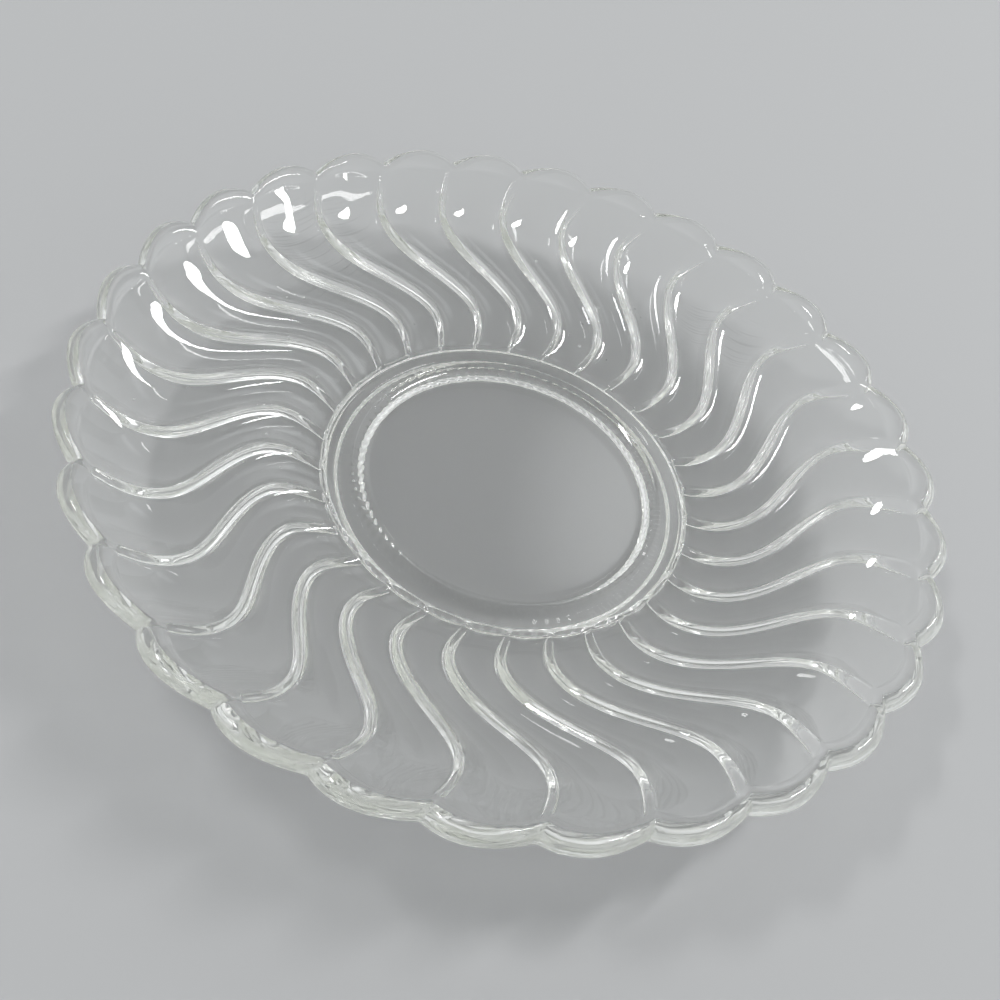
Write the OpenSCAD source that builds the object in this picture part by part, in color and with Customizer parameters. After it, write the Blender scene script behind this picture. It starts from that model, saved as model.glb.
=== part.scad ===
// Pressed glass saucer: flat cup well, stepped cup ring, foot ring,
// swirl-fluted wall and scalloped rim. Millimetres, +Z up, origin on the table under the centre.

/* [Dish] */
// Number of swirl flutes, each ending in one scallop of the rim
flute_count = 30; // [20:2:36]
// Diameter of the wall at its ridges, where the rim begins
rim_d = 139; // [126:1:154]
// Rise of the ridges from the ledge to the rim
wall_rise = 15.4; // [11:0.2:20]
// Slope of the wall where it leaves the cup ring, in degrees
ring_slope = 14; // [8:1:20]
// Slope of the wall where it meets the rim, in degrees
rim_slope = 35; // [28:1:42]
// Glass thickness of the wall at the ridges, beside the cup ring
wall_t = 3.2; // [2.8:0.1:3.8]
// Glass thickness of the wall at the ridges, beside the rim
rim_t = 2.5; // [2.2:0.1:3.2]

/* [Cup well] */
// Diameter of the flat floor of the well
floor_d = 48.4; // [42:0.4:52]
// Glass thickness of the well floor
floor_t = 2.8; // [2.4:0.1:4]
// Height of the step from the floor up to the ledge
step_h = 1.3; // [0.8:0.1:2]
// Radius of the cove between floor and step
cove_r = 5.2; // [4:0.2:6]
// Radius of the rounded edge on top of the step
edge_r = 1; // [0.6:0.1:1.6]
// Width of the flat ledge, from the step's rounded edge to the flutes
ledge_w = 4.6; // [3:0.2:7]

/* [Foot] */
// Inset of the foot ring's outside from the ledge's outer edge
foot_inset = 1.4; // [0.2:0.2:3]
// Width of the foot ring
foot_w = 4.4; // [3:0.2:6]
// Height of the foot ring
foot_h = 1.6; // [1:0.1:2.4]
// Draft on each side of the foot ring, from base to table
foot_draft = 0.4; // [0.1:0.1:0.8]

/* [Flutes] */
// Depth of the channels near the cup ring
channel_ring = 1; // [0.6:0.1:1.4]
// Depth of the channels halfway up the wall
channel_mid = 1.5; // [1:0.1:2]
// Depth of the channels at the rim
channel_rim = 0.4; // [0.2:0.1:1]
// Bulge of the underside below each channel near the cup ring
bulge_ring = 0.8; // [0.4:0.1:1.2]
// Bulge of the underside halfway up the wall
bulge_mid = 1.4; // [1:0.1:2]
// Bulge of the underside at the rim
bulge_rim = 1.4; // [1:0.1:2]
// Length of the rounded end of each channel beside the cup ring
channel_end = 2.4; // [1.6:0.2:4]

/* [Swirl] */
// Angle by which the flutes lag at the cup ring behind the rim
swirl_lean = 12.3; // [6:0.3:18]
// Sideways bow of a flute over its whole length, in degrees
swirl_bow = 1.5; // [0:0.1:3]
// Size of the double bend that makes the flute an S, in degrees
swirl_bend = 5.3; // [2:0.1:8]
// Extra curl at both ends of the flute, in degrees
swirl_curl = 0.75; // [0:0.05:1.5]

/* [Rim] */
// Reach of the rounded rim past the wall at a notch
lip_run = 1.1; // [0.8:0.1:2]
// Further reach of the rim at the middle of a scallop
scallop_reach = 2.5; // [1.5:0.1:3.6]
// Fullness of the rim's rounding, from a square edge towards a plain half ellipse at 1
lip_round = 0.65; // [0.5:0.05:1]

/* [Hidden] */

$fn = 180;
glass = [0.87, 0.91, 0.89, 0.55];

// Facets of the fluted faces
flute_steps = 6;
wall_rows = 10;
lip_steps = 8;
arc_steps = 8;
end_rows = [0, 0.15, 0.5];
around = flute_count * flute_steps;

floor_r = floor_d / 2;
floor_top = foot_h + floor_t;
ledge_h = floor_top + step_h;
rim_r = rim_d / 2;

// Turn of the cove and of the rounded edge, which meet at one tangent
step_turn = acos(1 - step_h / (cove_r + edge_r));
edge_x = floor_r + (cove_r + edge_r) * sin(step_turn);

// The ledge ends at the flutes, and the foot stands under it
ring_r = edge_x + ledge_w;
foot_r = ring_r - foot_inset;

// The wall's flat inner facets touch the round ring from outside
seat_r = ring_r / cos(180 / around);
wall_run = rim_r - seat_r;
end_share = channel_end / wall_run;

// The swirl runs on past the wall, to the tip of the rim at a notch
swirl_run = wall_run + lip_run;

// Places along the wall, from 0 at the cup ring to 1 at the rim
wall_places = concat(
    [for (e = end_rows) e * end_share],
    [for (i = [0 : wall_rows]) end_share + (1 - end_share) * i / wall_rows]
);

// Line of the ridges: a cubic with a set slope at either end
function ridge_r(s) = seat_r + wall_run * s;
function ridge_z(s) =
    ledge_h
    + wall_rise * s * s * (3 - 2 * s)
    + wall_run * tan(ring_slope) * s * (1 - s) * (1 - s)
    - wall_run * tan(rim_slope) * s * s * (1 - s);

// Turn of a flute about the axis, an S with a lean, at a share t of the swirl
function swirl(t) =
    swirl_bow * sin(180 * t)
    - swirl_lean * (1 - t)
    - swirl_bend * sin(360 * t)
    - swirl_curl * sin(540 * t);

// Arch across one flute, 0 at its ridges and 1 along its middle
function across(j) = (j % flute_steps) / flute_steps;
function arch(j) = 4 * across(j) * (1 - across(j));

// Curve through three values at the ring, halfway and the rim
function along(ring, mid, rim, s) =
    ring * (1 - s) * (1 - 2 * s) + mid * 4 * s * (1 - s) + rim * s * (2 * s - 1);

// Rounded end of the channels, 0 at the cup ring and 1 past channel_end
function end_round(s) =
    s >= end_share ? 1 : sqrt(1 - pow(1 - s / end_share, 2));

function channel(s, j) =
    along(channel_ring, channel_mid, channel_rim, s) * end_round(s) * arch(j);
function underside(s, j) =
    wall_t + (rim_t - wall_t) * s
    + along(bulge_ring, bulge_mid, bulge_rim, s) * end_round(s) * arch(j);

// Point at place s and step j, dropped square to the wall and reaching out along it
function wall_point(s, j, drop, reach = 0) =
    let (
        tilt = rim_slope * s,
        line = ridge_r(s) + reach * cos(tilt),
        turn = 360 * j / around + swirl((line - seat_r) / swirl_run),
        r = line + drop * sin(tilt),
        z = ridge_z(s) - drop * cos(tilt) + reach * sin(tilt)
    )
    [r * cos(turn), r * sin(turn), z];

// Point on the rounded rim, from the wall's upper face at 0 to its lower face at 180
function rim_point(angle, j) =
    let (
        upper = channel(1, j),
        lower = underside(1, j),
        drop = (upper + lower) / 2 - (lower - upper) / 2 * cos(angle),
        reach = (lip_run + scallop_reach * arch(j)) * pow(sin(angle), lip_round)
    )
    wall_point(1, j, drop, reach);

// Closed ring of glass skinned over loops that follow one another round its section
module ring_solid(loops) {
    count = len(loops);
    size = len(loops[0]);
    polyhedron(
        points = [for (loop = loops) each loop],
        faces = [
            for (k = [0 : count - 1], j = [0 : size - 1])
                let (
                    near = k * size,
                    far = ((k + 1) % count) * size,
                    next = (j + 1) % size
                )
                each [
                    [near + j, near + next, far + next],
                    [near + j, far + next, far + j]
                ]
        ],
        convexity = 6
    );
}

// Flat disc that the cup stands on
module well_floor() {
    color(glass)
    translate([0, 0, foot_h])
        cylinder(h = floor_t, r = floor_r);
}

// Coved step and flat ledge round the well
module cup_ring() {
    cove = [
        for (i = [0 : arc_steps])
            let (a = step_turn * i / arc_steps)
            [floor_r + cove_r * sin(a), floor_top + cove_r * (1 - cos(a))]
    ];
    edge = [
        for (i = [1 : arc_steps])
            let (a = step_turn * (1 - i / arc_steps))
            [edge_x - edge_r * sin(a), ledge_h - edge_r * (1 - cos(a))]
    ];
    color(glass)
    rotate_extrude()
        polygon(concat(cove, edge, [[ring_r, ledge_h], [ring_r, foot_h], [floor_r, foot_h]]));
}

// Raised ring under the base that stands on the table
module foot_ring() {
    color(glass)
    rotate_extrude()
        polygon([
            [foot_r - foot_w, foot_h],
            [foot_r - foot_w + foot_draft, 0],
            [foot_r - foot_draft, 0],
            [foot_r, foot_h]
        ]);
}

// Sloping wall with S-shaped channels above and lobes below
module fluted_wall() {
    rows = len(wall_places) - 1;
    upper = [
        for (s = wall_places)
            [for (j = [0 : around - 1]) wall_point(s, j, channel(s, j))]
    ];
    lower = [
        for (i = [0 : rows])
            let (s = wall_places[rows - i])
            [for (j = [0 : around - 1]) wall_point(s, j, underside(s, j))]
    ];
    color(glass)
    ring_solid(concat(upper, lower));
}

// Rounded edge, drawn out into a scallop at the end of each flute
module scalloped_rim() {
    color(glass)
    ring_solid([
        for (i = [0 : lip_steps])
            [for (j = [0 : around - 1]) rim_point(180 * i / lip_steps, j)]
    ]);
}

well_floor();
cup_ring();
foot_ring();
fluted_wall();
scalloped_rim();
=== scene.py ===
import math
import random
import bmesh
import bpy
from mathutils import Matrix, Vector


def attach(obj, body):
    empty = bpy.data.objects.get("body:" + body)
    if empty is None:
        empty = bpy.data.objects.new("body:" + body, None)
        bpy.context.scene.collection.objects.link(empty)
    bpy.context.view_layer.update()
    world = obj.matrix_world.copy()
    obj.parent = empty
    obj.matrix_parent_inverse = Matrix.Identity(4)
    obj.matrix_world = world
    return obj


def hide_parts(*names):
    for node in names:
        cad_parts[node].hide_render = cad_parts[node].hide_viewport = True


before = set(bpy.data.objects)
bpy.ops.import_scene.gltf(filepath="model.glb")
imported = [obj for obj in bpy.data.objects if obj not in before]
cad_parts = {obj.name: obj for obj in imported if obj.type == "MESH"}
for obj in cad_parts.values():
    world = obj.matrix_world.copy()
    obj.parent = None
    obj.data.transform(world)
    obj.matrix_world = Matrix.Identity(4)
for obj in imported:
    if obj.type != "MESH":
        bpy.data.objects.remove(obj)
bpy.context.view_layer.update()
millimetre = 0.001
bounces = 40  # light runs a long way inside the rim
scene = bpy.context.scene
scene.view_settings.view_transform = "Standard"
scene.cycles.max_bounces = bounces
scene.cycles.glossy_bounces = bounces
scene.cycles.transmission_bounces = bounces
print("frame loaded:", ", ".join(sorted(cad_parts)))


class Wire:  # one socket, so that shader maths reads as plain arithmetic
    def __init__(self, tree, socket=None):
        self.tree = tree
        self.socket = socket

    def node(self, kind, settings, inputs, output=0):
        made = self.tree.nodes.new(kind)
        for name, value in settings.items():
            setattr(made, name, value)
        for name, value in inputs.items():
            if isinstance(value, Wire):
                self.tree.links.new(value.socket, made.inputs[name])
            else:
                made.inputs[name].default_value = value
        return Wire(self.tree, made.outputs[output] if made.outputs else None)

    def maths(self, operation, first, second=0.0):
        return self.node("ShaderNodeMath", {"operation": operation}, {0: first, 1: second})

    def __add__(self, other):
        return self.maths("ADD", self, other)

    def __radd__(self, other):
        return self.maths("ADD", other, self)

    def __sub__(self, other):
        return self.maths("SUBTRACT", self, other)

    def __rsub__(self, other):
        return self.maths("SUBTRACT", other, self)

    def __mul__(self, other):
        return self.maths("MULTIPLY", self, other)

    def __rmul__(self, other):
        return self.maths("MULTIPLY", other, self)

    def above(self, edge, soft):  # 0 below the edge, 1 above it
        return self.node("ShaderNodeMapRange", {"interpolation_type": "SMOOTHSTEP"}, {
            "Value": self,
            "From Min": edge - soft,
            "From Max": edge + soft,
        })


def newMaterial(name):
    material = bpy.data.materials.new(name)
    material.use_nodes = True
    material.node_tree.nodes.clear()
    return material, Wire(material.node_tree)


def noise(wire, place, scale, detail, dimensions="3D"):
    settings = {"noise_dimensions": dimensions}
    return wire.node("ShaderNodeTexNoise", settings, {"Vector": place, "Scale": scale, "Detail": detail})


# camera at the photograph's angle, lengths in mm and angles in degrees
view = {
    "turn": -9.19,  # about the saucer's axis
    "elevation": 49.37,  # above the table
    "roll": 19.38,  # the picture is held askew
    "aimHeight": 20.9,  # of the point on the axis that the other lengths start from
    "distance": 172.7,
    "slideRight": -5.0,
    "slideUp": -14.0,
    "nearest": 10.0,  # what is nearer than this isn't drawn
    "lens": 37.25,
    "sensor": 36.0,
}


def makeCamera():
    lens = bpy.data.cameras.new("camera")
    lens.lens = view["lens"]
    lens.sensor_width = view["sensor"]
    lens.clip_start = view["nearest"] * millimetre
    camera = bpy.data.objects.new("camera", lens)
    scene.collection.objects.link(camera)
    aimed = Matrix.Translation((0, 0, view["aimHeight"] * millimetre))
    turned = Matrix.Rotation(math.radians(view["turn"]), 4, "Z")
    lifted = Matrix.Rotation(math.radians(90 - view["elevation"]), 4, "X")
    rolled = Matrix.Rotation(math.radians(view["roll"]), 4, "Z")
    slide = Vector((view["slideRight"], view["slideUp"], view["distance"]))
    moved = Matrix.Translation(slide * millimetre)
    camera.matrix_world = aimed @ turned @ lifted @ rolled @ moved
    scene.camera = camera


makeCamera()
print("camera placed")


# the saucer: one pressing of glass, lengths in mm and angles in degrees
saucer = {
    "flutes": 30,
    "columns": 20,  # mesh columns to a flute
    "crowding": 0.85,  # how far the columns crowd towards the ridges
    "weld": 0.0001,  # points closer than this are merged
    # well and ledge
    "floorRadius": 24.2,
    "floorTop": 4.4,
    "floorPlaces": (0, 6, 12, 18, 22, 23.6),  # radii of the floor's mesh rows
    "stepHeight": 1.3,
    "coveRadius": 5.2,
    "coveRows": 8,
    "edgeRadius": 1.0,  # rounding on top of the step
    "edgeRows": 6,
    "ledgeWidth": 4.6,
    "ledgePlaces": (0.25, 0.6, 0.9),  # the ledge's mesh rows, as shares of its width
    # wall
    "rimRadius": 68.0,  # where the lip begins to roll over
    "wallRise": 14.37,
    "ringSlope": 14.0,
    "rimSlope": 33.8,
    "wallThickness": 3.2,
    "rimThickness": 2.6,
    "wallRows": 36,
    # channels and ridges of the upper face
    "channel": (0.6, 1.5, 1.4),  # depth at the cup ring, halfway and at the rim
    "channelRise": (8.0, 0.2),  # how far before the rim a channel rises again, and by what share
    "channelEnd": 0.9,  # run of the slope from the ledge down into a channel
    "endPlaces": (0.0, 0.07, 0.17, 0.3, 0.44, 0.58, 0.72, 0.86),  # mesh rows on that slope
    "endChord": (0.2, 3.0),  # how far in a channel's end is drawn, for a ring like a polygon, and its run
    "endFullness": (1.1, 9.0),  # fullness across at the ring, where 1 is a plain arch, and its run
    "ringStep": (0.35, 9.0),  # step down from the ledge to the ridges, and how far out it is made up
    "ridgeSoftness": 0.012,  # rounding of a ridge, as a share of a flute's width
    "ridgeFin": 0.16,  # height of the sharp fin along a ridge
    "ridgeFinStart": (0.5, 3.0),  # where the fin begins and is full, from the ring
    # lobes and grooves underneath
    "bulge": (0.8, 1.4, 1.4),  # of the lobes at the cup ring, halfway and at the rim
    "lobeFullness": (1.7, 1.4, 1.2),  # across, at the same three places
    "grooveStart": (0.0, 10.0),  # where the grooves begin and are full, from the ring
    "grooveFinish": (9.0, 2.0, 0.2),  # where they fade before the rim, and what is left of them there
    "grooveFin": 0.3,  # depth of the sharp notch along a groove
    "grooveFinStart": (0.1, 0.9),  # where the notch begins and is full, from the ring
    "grooveFinFinish": (0.5, 2.5),  # where it is gone and full, from the rim
    "finWidth": 0.2,  # half width of fin and notch
    # swirl
    "swirlRun": 38.0,  # from the ring to the tip of the rim at a notch
    "swirlLean": 12.3,
    "swirlBow": 1.5,
    "swirlBend": 5.3,
    "swirlCurl": 0.75,
    # lip
    "lipRun": 2.9,  # reach of the lip past the wall at a notch
    "scallopReach": 2.5,  # and how much more at the middle of a scallop
    "lipRound": 0.75,
    "lipRows": 13,
    "crease": (0.4, 1.2),  # the same two reaches for the crease where a channel meets the lip's bead
    "creasePlaces": (0.5, 0.9, 1.0),  # mesh rows from the wall to the crease
    "beadTop": 0.3,  # how far the bead stays below the ridges at the middle of a scallop
    "beadTurn": 60.0,  # the bead's rounding on the inside
    "beadRows": 5,
    # base and foot
    "footInset": 2.0,
    "footWidth": 5.2,
    "footHeight": 1.6,
    "footRound": 0.6,  # rounding of its outer side
    "footSlope": 3.0,  # run of its sloping inner side
    "footRows": 7,
    "baseFillet": ((0.25, 0.45), (0.7, 0.1)),  # below the wall: in from the ring, up from the base
    "outerNook": (0.3, 0.02),  # beside the foot: out from it, down from the base
    "outerTop": 0.15,  # where its outer side starts, down from the base
    "innerTop": 0.03,  # where its inner side ends, down from the base
    "innerNook": ((0.3, 0.02), (0.8, 0.0)),  # inside the foot: in from it, down from the base
    "basePlaces": (18, 9, 0),  # radii of the mesh rows under the well
}
rowValues = ("share", "tilt", "press", "scallop", "fullness", "chord", "fin")  # a row's, after x and z
stepTurn = math.acos(1 - saucer["stepHeight"] / (saucer["coveRadius"] + saucer["edgeRadius"]))
stepRun = (saucer["coveRadius"] + saucer["edgeRadius"]) * math.sin(stepTurn)
ringRadius = saucer["floorRadius"] + stepRun + saucer["ledgeWidth"]
ledgeHeight = saucer["floorTop"] + saucer["stepHeight"]
wallRun = saucer["rimRadius"] - ringRadius
endShare = saucer["channelEnd"] / wallRun


def ridgeHeight(share):  # a cubic with a set slope at either end
    rise = saucer["wallRise"] * share * share * (3 - 2 * share)
    start = wallRun * math.tan(math.radians(saucer["ringSlope"])) * share * (1 - share) ** 2
    finish = wallRun * math.tan(math.radians(saucer["rimSlope"])) * share * share * (1 - share)
    return ledgeHeight + rise + start - finish


def swirl(share):  # turn of a flute about the axis, an S with a lean
    bow = saucer["swirlBow"] * math.sin(math.pi * share)
    lean = saucer["swirlLean"] * (1 - share)
    bend = saucer["swirlBend"] * math.sin(2 * math.pi * share)
    curl = saucer["swirlCurl"] * math.sin(3 * math.pi * share)
    return math.radians(bow - lean - bend - curl)


def along(three, share):  # curve through the values at the ring, halfway and the rim
    ring, middle, rim = three
    ends = ring * (1 - share) * (1 - 2 * share) + rim * share * (2 * share - 1)
    return ends + middle * 4 * share * (1 - share)


def ease(value, start, finish):  # smooth step from 0 to 1
    part = min(max((value - start) / (finish - start), 0.0), 1.0)
    return part * part * (3 - 2 * part)


def endRound(share):  # the slope into a channel beside the cup ring
    return ease(share, 0, endShare)


def groove(share):  # share of the lobes' height that the grooves between them have
    start = ease(wallRun * share, *saucer["grooveStart"])
    full, gone, left = saucer["grooveFinish"]
    return start * (1 - (1 - left) * ease(wallRun * (share - 1), -full, -gone))


def channelDepth(share):
    run, loss = saucer["channelRise"]
    kept = 1 - loss * ease(wallRun * share, wallRun - run, wallRun)
    return along(saucer["channel"], share) * endRound(share) * kept


def ringDrop(share):  # the ridges leave the ledge with a small step
    step, run = saucer["ringStep"]
    return step * endRound(share) * (1 - ease(wallRun * share, saucer["channelEnd"], run))


def wallRow(share, drop, press, reach=0.0, scallop=0.0, fullness=1.0, chord=0.0, fin=0.0, under=0.0):
    # a row of the wall at a ridge, and how far the middle of a flute is pressed down and drawn out
    tilt = math.radians(saucer["rimSlope"] * share)
    line = ringRadius + wallRun * share + reach * math.cos(tilt)
    x = line + drop * math.sin(tilt)
    z = ridgeHeight(share) - drop * math.cos(tilt) + reach * math.sin(tilt)
    spot = line + under * (x - line)  # the grooves underneath keep below the ridges
    return x, z, (spot - ringRadius) / saucer["swirlRun"], tilt, press, scallop, fullness, chord, fin


def plainRow(x, z):  # a row of the well or foot, which the flutes don't touch
    return x, z, 0.0, 0.0, 0.0, 0.0, 1.0, 0.0, 0.0


def wallPlaces():
    rows = saucer["wallRows"]
    ends = [endShare * place for place in saucer["endPlaces"]]
    return ends + [endShare + (1 - endShare) * i / rows for i in range(rows + 1)]


def wellRows():  # floor, cove, rounded edge of the step and ledge
    top, cove, edge = saucer["floorTop"], saucer["coveRadius"], saucer["edgeRadius"]
    rows = [plainRow(radius, top) for radius in saucer["floorPlaces"]]
    for i in range(saucer["coveRows"] + 1):
        a = stepTurn * i / saucer["coveRows"]
        rows.append(plainRow(saucer["floorRadius"] + cove * math.sin(a), top + cove * (1 - math.cos(a))))
    edgeX = saucer["floorRadius"] + stepRun
    for i in range(1, saucer["edgeRows"] + 1):
        a = stepTurn * (1 - i / saucer["edgeRows"])
        rows.append(plainRow(edgeX - edge * math.sin(a), ledgeHeight - edge * (1 - math.cos(a))))
    for place in saucer["ledgePlaces"]:
        rows.append(plainRow(edgeX + saucer["ledgeWidth"] * place, ledgeHeight))
    return rows


def upperRows():  # channels and ridges, from the ring to the rim
    rows = []
    endFull, fullRun = saucer["endFullness"]
    endChord, chordRun = saucer["endChord"]
    for share in wallPlaces():
        out = wallRun * share
        fullness = endFull + (1 - endFull) * ease(out, 0, fullRun)
        chord = endChord * (1 - ease(out, 0, chordRun))
        fin = saucer["ridgeFin"] * ease(out, *saucer["ridgeFinStart"])
        depth = channelDepth(share)
        rows.append(wallRow(share, ringDrop(share), depth, fullness=fullness, chord=chord, fin=fin))
    return rows


def lipRow(part, drop, press, under=0.0):  # a share of the way from the crease to the tip
    reach, scallop = saucer["crease"]
    reach += (saucer["lipRun"] - reach) * part
    scallop += (saucer["scallopReach"] - scallop) * part
    return wallRow(1.0, drop, press, reach, scallop, under=under)


def lipRows():  # from the crease over the bead and round the edge
    reach, scallop = saucer["crease"]
    low, top, bottom = channelDepth(1), saucer["beadTop"], saucer["bulge"][2] * groove(1)
    edge = saucer["rimThickness"] + saucer["bulge"][2] - bottom
    rows = [wallRow(1.0, 0.0, low, reach * part, scallop * part) for part in saucer["creasePlaces"]]
    inner = math.radians(saucer["beadTurn"])
    start = math.sin(inner) / (1 + math.sin(inner))  # share of the bead's width before its top
    for i in range(1, saucer["beadRows"] + 1):
        a = inner * (1 - i / saucer["beadRows"])
        part = start * (1 - math.sin(a) / math.sin(inner))
        press = top + (low - top) * (1 - math.cos(a)) / (1 - math.cos(inner))
        rows.append(lipRow(part, 0.0, press))
    for i in range(1, saucer["lipRows"]):
        a = math.pi * i / saucer["lipRows"]
        lower = (1 - math.cos(a)) / 2
        out = math.sin(a) ** saucer["lipRound"]
        press = top * (1 - lower) + bottom * lower
        if a < math.pi / 2:
            rows.append(lipRow(start + (1 - start) * out, edge * lower, press, lower))
        else:  # under the tip the edge draws back to the wall
            reach, scallop = saucer["lipRun"] * out, saucer["scallopReach"] * out
            rows.append(wallRow(1.0, edge * lower, press, reach, scallop, under=lower))
    return rows


def underRows():  # lobes and grooves, from the rim back to the ring
    rows = []
    for share in reversed(wallPlaces()):
        thickness = saucer["wallThickness"] + (saucer["rimThickness"] - saucer["wallThickness"]) * share
        bulge = along(saucer["bulge"], share) * endRound(share)
        fullness = along(saucer["lobeFullness"], share)
        fin = saucer["grooveFin"] * ease(wallRun * share, *saucer["grooveFinStart"])
        fin *= ease(wallRun * (1 - share), *saucer["grooveFinFinish"])
        drop = thickness + bulge * (1 - groove(share))
        rows.append(wallRow(share, drop, bulge * groove(share), fullness=fullness, fin=fin, under=1.0))
    return rows


def footRows():  # base and foot, from the ring in to the middle
    base, steps = saucer["footHeight"], saucer["footRows"]
    outer = ringRadius - saucer["footInset"]
    inner = outer - saucer["footWidth"]
    rows = [plainRow(ringRadius - inwards, base + up) for inwards, up in saucer["baseFillet"]]
    out, down = saucer["outerNook"]
    rows.append(plainRow(outer + out, base - down))
    for i in range(steps + 1):  # rounded outer side
        a = math.pi / 2 * i / steps
        x = outer - saucer["footRound"] * (1 - math.cos(a))
        rows.append(plainRow(x, (base - saucer["outerTop"]) * (1 - math.sin(a))))
    for i in range(steps + 1):  # sloping inner side
        x = inner + saucer["footSlope"] * (1 - i / steps)
        rows.append(plainRow(x, (base - saucer["innerTop"]) * ease(i, 0, steps)))
    rows += [plainRow(inner - inwards, base - down) for inwards, down in saucer["innerNook"]]
    return rows + [plainRow(radius, base) for radius in saucer["basePlaces"]]


def archOf(part):  # 0 on the ridges, 1 along the middle of a flute, with the ridges a little rounded
    soft = saucer["ridgeSoftness"]
    near = math.hypot(min(part, 1 - part), soft) - soft
    middle = math.hypot(0.5, soft) - soft
    return near * (1 - near) / (middle * (1 - middle))


def pressFlute(vert, layers):  # takes a point of the plain ring down into its flute and round with the swirl
    share, tilt, press, scallop, fullness, chord, fin = (vert[layer] for layer in layers)
    flute, part = divmod(math.atan2(vert.co.y, vert.co.x) * saucer["flutes"] / (2 * math.pi), 1)
    part -= saucer["crowding"] * math.sin(2 * math.pi * part) / (2 * math.pi)
    arch = archOf(part)
    down = press * (1 - max(1 - arch, 0) ** fullness)
    out = scallop * arch
    radius = math.hypot(vert.co.x, vert.co.y) + down * math.sin(tilt) + out * math.cos(tilt) - chord * arch
    height = vert.co.z - down * math.cos(tilt) + out * math.sin(tilt)
    aside = min(part, 1 - part) * radius * 2 * math.pi / saucer["flutes"]
    height += fin * math.exp(-(aside / saucer["finWidth"]) ** 2)
    turn = (flute + part) * 2 * math.pi / saucer["flutes"]
    turn += swirl(share + out * math.cos(tilt) / saucer["swirlRun"])
    vert.co = Vector((radius * math.cos(turn), radius * math.sin(turn), height))


# seeds: tiny air bubbles left in the wall, lengths in mm
seeds = {
    "count": 30,
    "size": (0.12, 0.3),  # radius
    "turn": (55, 215),  # degrees round the axis
    "reach": (38, 65),  # from the axis
    "depth": 2.3,  # below the ridges
    "subdivisions": 2,
    "start": 7,  # of the random draws
}


def addSeeds(mesh):
    chance = random.Random(seeds["start"])
    for i in range(seeds["count"]):
        turn = math.radians(chance.uniform(*seeds["turn"]))
        reach = chance.uniform(*seeds["reach"])
        height = ridgeHeight((reach - ringRadius) / wallRun) - seeds["depth"]
        place = Matrix.Translation((reach * math.cos(turn), reach * math.sin(turn), height))
        size, detail = chance.uniform(*seeds["size"]), seeds["subdivisions"]
        ball = bmesh.ops.create_icosphere(mesh, subdivisions=detail, radius=size, matrix=place)
        faces = {face for vert in ball["verts"] for face in vert.link_faces}
        bmesh.ops.reverse_faces(mesh, faces=list(faces))  # the air is inside


def makeSaucer():
    mesh = bmesh.new()
    layers = [mesh.verts.layers.float.new(name) for name in rowValues]
    section = []
    for x, z, *values in wellRows() + upperRows() + lipRows() + underRows() + footRows():
        vert = mesh.verts.new((x, 0, z))
        for layer, value in zip(layers, values):
            vert[layer] = value
        section.append(vert)
    edges = [mesh.edges.new(pair) for pair in zip(section, section[1:])]
    steps = saucer["flutes"] * saucer["columns"]
    bmesh.ops.spin(mesh, geom=section + edges, cent=(0, 0, 0), axis=(0, 0, 1), dvec=(0, 0, 0),
                   angle=2 * math.pi, steps=steps, use_merge=True)
    bmesh.ops.remove_doubles(mesh, verts=mesh.verts, dist=saucer["weld"])
    for vert in mesh.verts:
        pressFlute(vert, layers)
    bmesh.ops.recalc_face_normals(mesh, faces=mesh.faces)
    addSeeds(mesh)
    bmesh.ops.scale(mesh, vec=(millimetre, millimetre, millimetre), verts=mesh.verts)
    for layer in layers:
        mesh.verts.layers.float.remove(layer)
    data = bpy.data.meshes.new("saucer_glass")
    mesh.to_mesh(data)
    mesh.free()
    data.shade_smooth()
    piece = bpy.data.objects.new("saucer_glass", data)
    scene.collection.objects.link(piece)
    print("saucer_glass:", len(data.polygons), "faces")
    return piece


# clear pressed glass, lengths in mm
glass = {
    "tint": (0.985, 0.988, 0.982),
    "roughness": 0.015,
    "ior": 1.51,
    "depthTint": (0.93, 0.95, 0.87),
    "depthDensity": 9.0,
    "rippleSize": 7.0,  # slow waves left by the mould
    "rippleDetail": 2.0,
    "rippleHeight": 0.02,
    "grainSize": 0.9,
    "grainDetail": 3.0,
    "grainHeight": 0.0012,
    "grainDull": (0.62, 0.1),  # where the grain dulls the shine, and how softly
    "grainRoughness": 0.03,
    "scuffs": [  # middle, spread, direction in degrees, a line's length and width, noise where lines begin
        {"middle": (-42, 39, 15), "spread": 10, "turn": 48, "line": (24.0, 0.26), "from": 0.7},
        {"middle": (37, 42, 15), "spread": 8, "turn": -24, "line": (18.0, 0.26), "from": 0.71},
    ],
    "scuffSoft": 0.05,  # softness of a line
    "scuffFade": 0.4,  # softness of the border round the lines, as a share of their spread
    "scuffRoughness": 0.12,
    "scuffShade": 0.22,
    "knurls": 86,  # fine ribs round the foot
    "knurlSlant": 3.0,  # radians of their wave to a mm of height
    "knurlWander": 5.0,  # how far they stray from an even pitch
    "knurlTop": (1.4, 0.15),  # height where they stop, and how softly
    "knurlHeight": 0.03,
}


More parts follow.
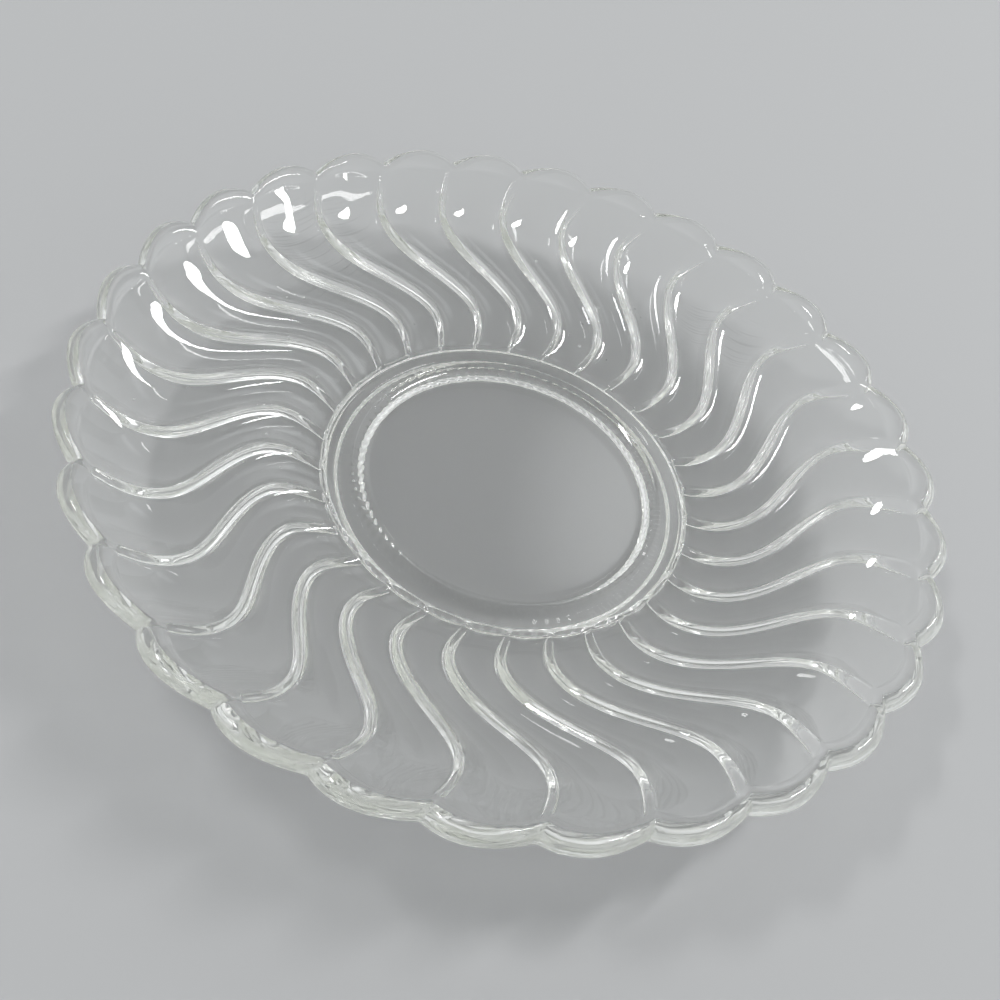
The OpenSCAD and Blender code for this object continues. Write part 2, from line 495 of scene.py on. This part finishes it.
def scuffed(wire, place, scuff):  # fine lines side by side, fading out round their middle
    middle = tuple(side * millimetre for side in scuff["middle"])
    length, width = (side * millimetre for side in scuff["line"])
    spread = scuff["spread"] * millimetre
    laid = wire.node("ShaderNodeMapping", {"vector_type": "TEXTURE"}, {
        "Vector": place,
        "Location": middle,
        "Rotation": (0, 0, math.radians(scuff["turn"])),
        "Scale": (length, width, 1),
    })
    lines = noise(wire, laid, 1.0, 0.0, "2D").above(scuff["from"], glass["scuffSoft"])
    away = wire.node("ShaderNodeVectorMath", {"operation": "DISTANCE"}, {0: place, 1: middle}, "Value")
    return lines * (1 - away.above(spread, spread * glass["scuffFade"]))


def knurled(wire, place, ripple):  # slanting ribs on the foot, at a slightly uneven pitch
    height = wire.node("ShaderNodeSeparateXYZ", {}, {"Vector": place}, "Z") * (1 / millimetre)
    turn = wire.node("ShaderNodeTexGradient", {"gradient_type": "RADIAL"}, {"Vector": place}, "Fac")
    slant = turn * (2 * math.pi * glass["knurls"]) + height * glass["knurlSlant"]
    wave = wire.maths("SINE", slant + ripple * glass["knurlWander"])
    return wave * (1 - height.above(*glass["knurlTop"]))


def glassMaterial():
    material, wire = newMaterial("pressed_glass")
    place = wire.node("ShaderNodeTexCoord", {}, {}, "Object")
    ripple = noise(wire, place, 1 / (glass["rippleSize"] * millimetre), glass["rippleDetail"])
    grain = noise(wire, place, 1 / (glass["grainSize"] * millimetre), glass["grainDetail"])
    scuffs = sum(scuffed(wire, place, scuff) for scuff in glass["scuffs"])
    knurls = knurled(wire, place, ripple)
    tint = wire.node("ShaderNodeVectorMath", {"operation": "SCALE"}, {
        0: glass["tint"],
        "Scale": 1 - scuffs * glass["scuffShade"],
    })
    dull = grain.above(*glass["grainDull"]) * glass["grainRoughness"]
    relief = ripple * glass["rippleHeight"] + grain * glass["grainHeight"] + knurls * glass["knurlHeight"]
    bump = wire.node("ShaderNodeBump", {}, {"Strength": 1.0, "Distance": millimetre, "Height": relief})
    surface = wire.node("ShaderNodeBsdfPrincipled", {}, {
        "Base Color": tint,
        "Roughness": dull + scuffs * glass["scuffRoughness"] + glass["roughness"],
        "IOR": glass["ior"],
        "Transmission Weight": 1.0,
        "Normal": bump,
    })
    depth = wire.node("ShaderNodeVolumeAbsorption", {}, {
        "Color": (*glass["depthTint"], 1),
        "Density": glass["depthDensity"],
    })
    wire.node("ShaderNodeOutputMaterial", {}, {"Surface": surface, "Volume": depth})
    return material


saucerGlass = makeSaucer()
saucerGlass.data.materials.append(glassMaterial())
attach(saucerGlass, "root")
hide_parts("well_floor", "cup_ring", "foot_ring", "fluted_wall", "scalloped_rim")


# plain pale floor
floor = {
    "half": 2.0,  # m from its middle to a side
    "drop": 0.15,  # mm, a sliver of air under the foot
    "colour": (0.55, 0.555, 0.56),
    "roughness": 0.55,
    "speckleScale": 900.0,
    "speckleDetail": 2.0,
    "speckleRoughness": 0.1,
}


def makeFloor():
    mesh = bmesh.new()
    bmesh.ops.create_grid(mesh, x_segments=2, y_segments=2, size=floor["half"])
    data = bpy.data.meshes.new("floor")
    mesh.to_mesh(data)
    mesh.free()
    ground = bpy.data.objects.new("floor", data)
    scene.collection.objects.link(ground)
    ground.location.z = -floor["drop"] * millimetre
    material, wire = newMaterial("pale_floor")
    place = wire.node("ShaderNodeTexCoord", {}, {}, "Object")
    speckle = noise(wire, place, floor["speckleScale"], floor["speckleDetail"])
    surface = wire.node("ShaderNodeBsdfPrincipled", {}, {
        "Base Color": (*floor["colour"], 1),
        "Roughness": speckle * floor["speckleRoughness"] + floor["roughness"],
    })
    wire.node("ShaderNodeOutputMaterial", {}, {"Surface": surface})
    data.materials.append(material)


makeFloor()


# soft oval studio lamps overhead, facing down: place and size in mm, turn in degrees
lamps = {
    "left": {"place": (-640, 140, 1000), "size": (300, 125), "turn": 76, "watts": 2.3},
    "right": {"place": (680, 320, 1000), "size": (600, 86), "turn": 52, "watts": 4.2},
}
sky = {
    "colour": (0.97, 0.99, 1.0),
    "horizon": 0.95,
    "overhead": 0.4,
    "glow": 1.5,  # a broad soft light, mirrored in one side of the well
    "glowTowards": (0.30, 0.63, 0.71),
    "glowEdge": (0.985, 0.012),  # cosine of its half angle, and softness
}


def makeLamps():
    for name, lamp in lamps.items():
        light = bpy.data.lights.new(name, "AREA")
        light.shape = "ELLIPSE"
        light.size, light.size_y = (side * millimetre for side in lamp["size"])
        light.energy = lamp["watts"]
        holder = bpy.data.objects.new(name, light)
        scene.collection.objects.link(holder)
        holder.location = Vector(lamp["place"]) * millimetre
        holder.rotation_euler.z = math.radians(lamp["turn"])


def makeSky():
    world = bpy.data.worlds.new("studio")
    world.use_nodes = True
    world.node_tree.nodes.clear()
    scene.world = world
    wire = Wire(world.node_tree)
    aim = wire.node("ShaderNodeTexCoord", {}, {}, "Generated")
    height = wire.node("ShaderNodeSeparateXYZ", {}, {"Vector": aim}, "Z")
    fade = wire.node("ShaderNodeMapRange", {}, {
        "Value": height,
        "To Min": sky["horizon"],
        "To Max": sky["overhead"],
    })
    facing = wire.node("ShaderNodeVectorMath", {"operation": "DOT_PRODUCT"}, {
        0: aim,
        1: sky["glowTowards"],
    }, "Value")
    strength = fade + facing.above(*sky["glowEdge"]) * sky["glow"]
    background = wire.node("ShaderNodeBackground", {}, {"Color": (*sky["colour"], 1), "Strength": strength})
    wire.node("ShaderNodeOutputWorld", {}, {"Surface": background})


makeLamps()
makeSky()
print("floor and lamps placed")
